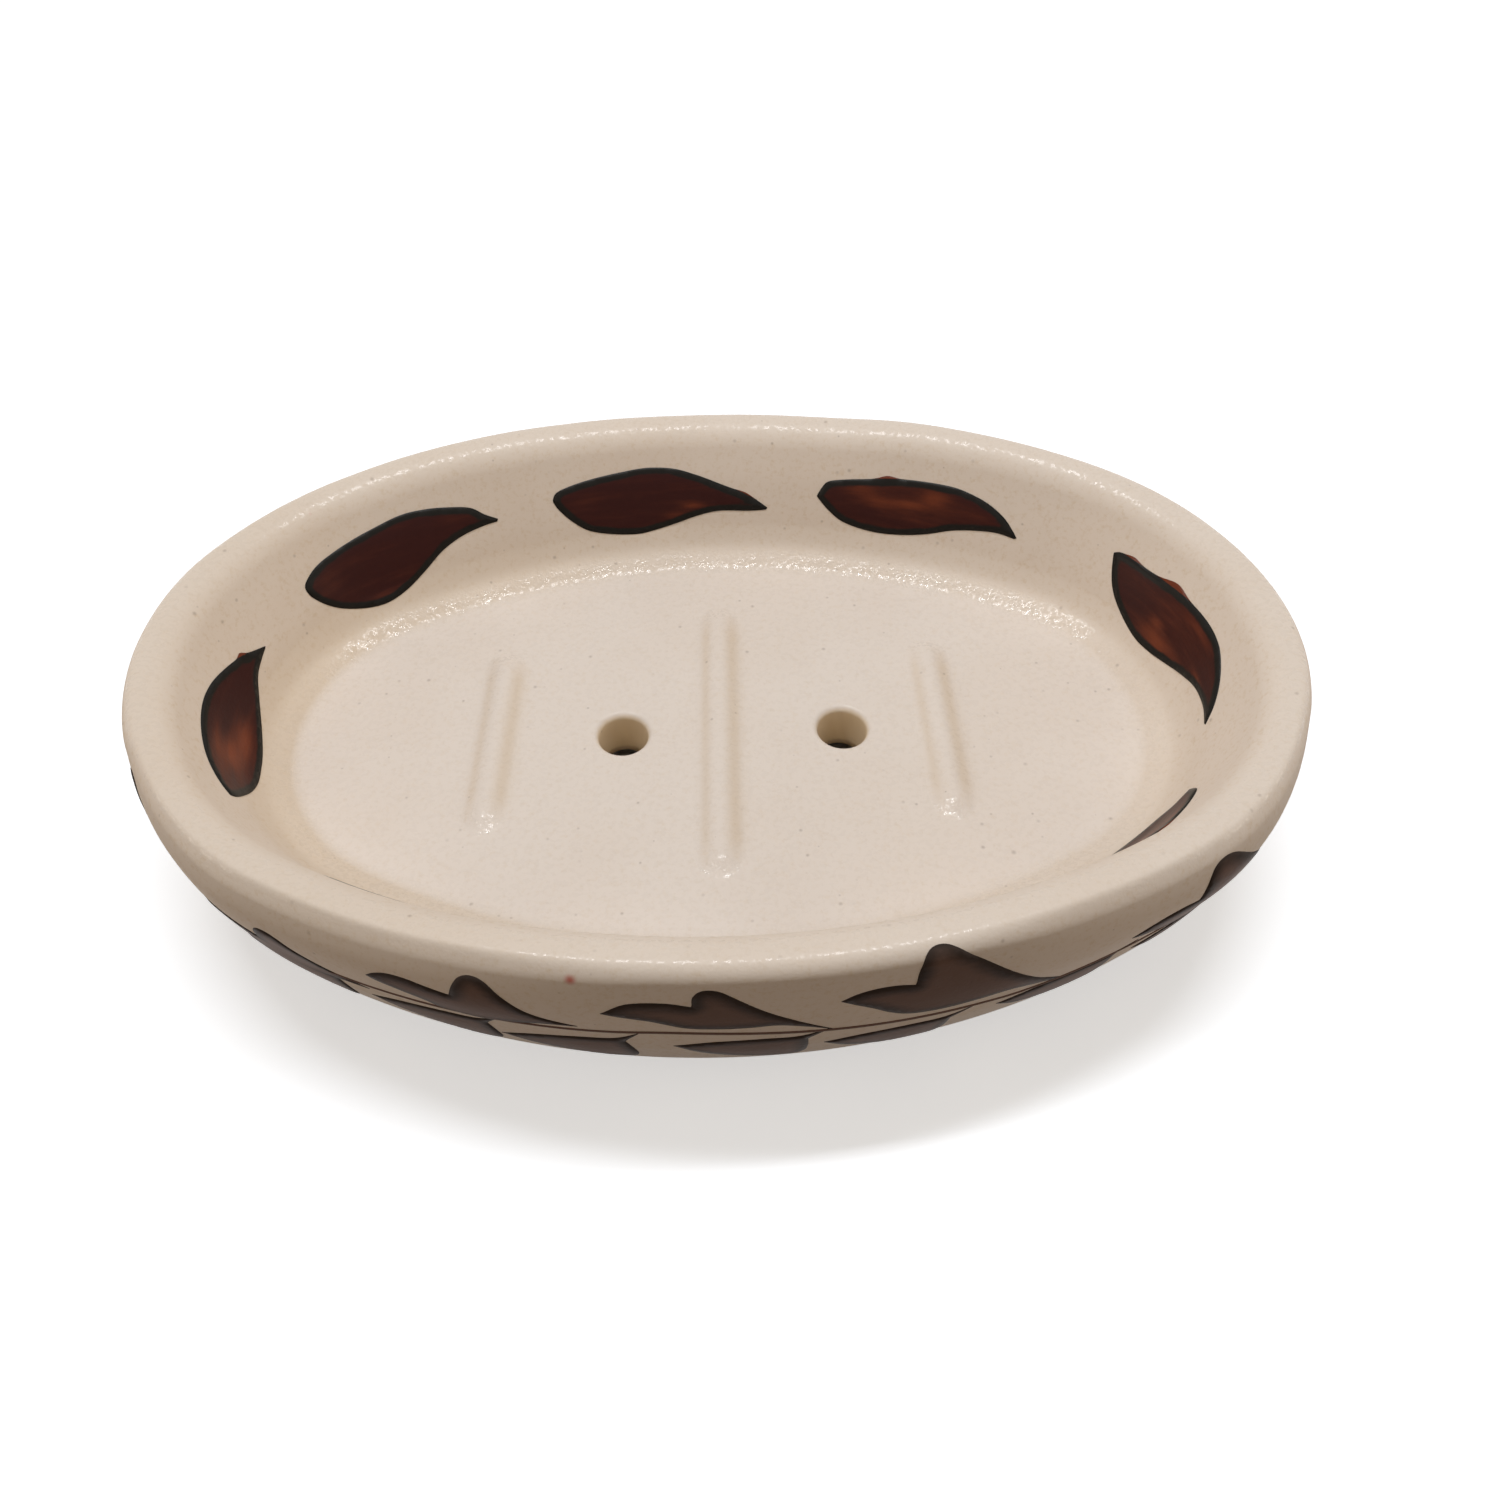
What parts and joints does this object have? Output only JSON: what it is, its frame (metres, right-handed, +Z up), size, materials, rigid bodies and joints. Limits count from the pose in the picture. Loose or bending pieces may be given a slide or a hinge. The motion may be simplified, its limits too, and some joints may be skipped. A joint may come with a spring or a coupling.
{
  "type": "soap dish",
  "caption": "Oval ceramic soap dish with a rolled rim, a flared wall, drain holes and low ribs on its floor, a foot ring, and leaf decoration laid on the wall.",
  "frame": {"origin": "on the standing surface, under the middle of the dish", "axes": "+X along the dish, +Y across it, +Z up"},
  "size_m": [0.1302, 0.0874, 0.027],
  "materials": {
    "cream_glaze": "satin cream glaze with fine dark specks",
    "brown_glaze": "glossy dark brown glaze with darker edges",
    "vine_glaze": "thin grey-brown glaze wash"
  },
  "bodies": {
    "root": {"floor_slab": "cream_glaze", "wall_ring": "cream_glaze", "foot_ring": "cream_glaze", "soap_rib_left": "cream_glaze", "soap_rib_centre": "cream_glaze", "soap_rib_right": "cream_glaze", "inner_leaf_1": "brown_glaze", "inner_leaf_2": "brown_glaze", "inner_leaf_3": "brown_glaze", "inner_leaf_4": "brown_glaze", "inner_leaf_5": "brown_glaze", "inner_leaf_6": "brown_glaze", "inner_leaf_7": "brown_glaze", "inner_leaf_8": "brown_glaze", "vine_stem": "vine_glaze", "vine_leaves_upper": "vine_glaze", "vine_leaves_lower": "vine_glaze"}
  },
  "joints": []
}
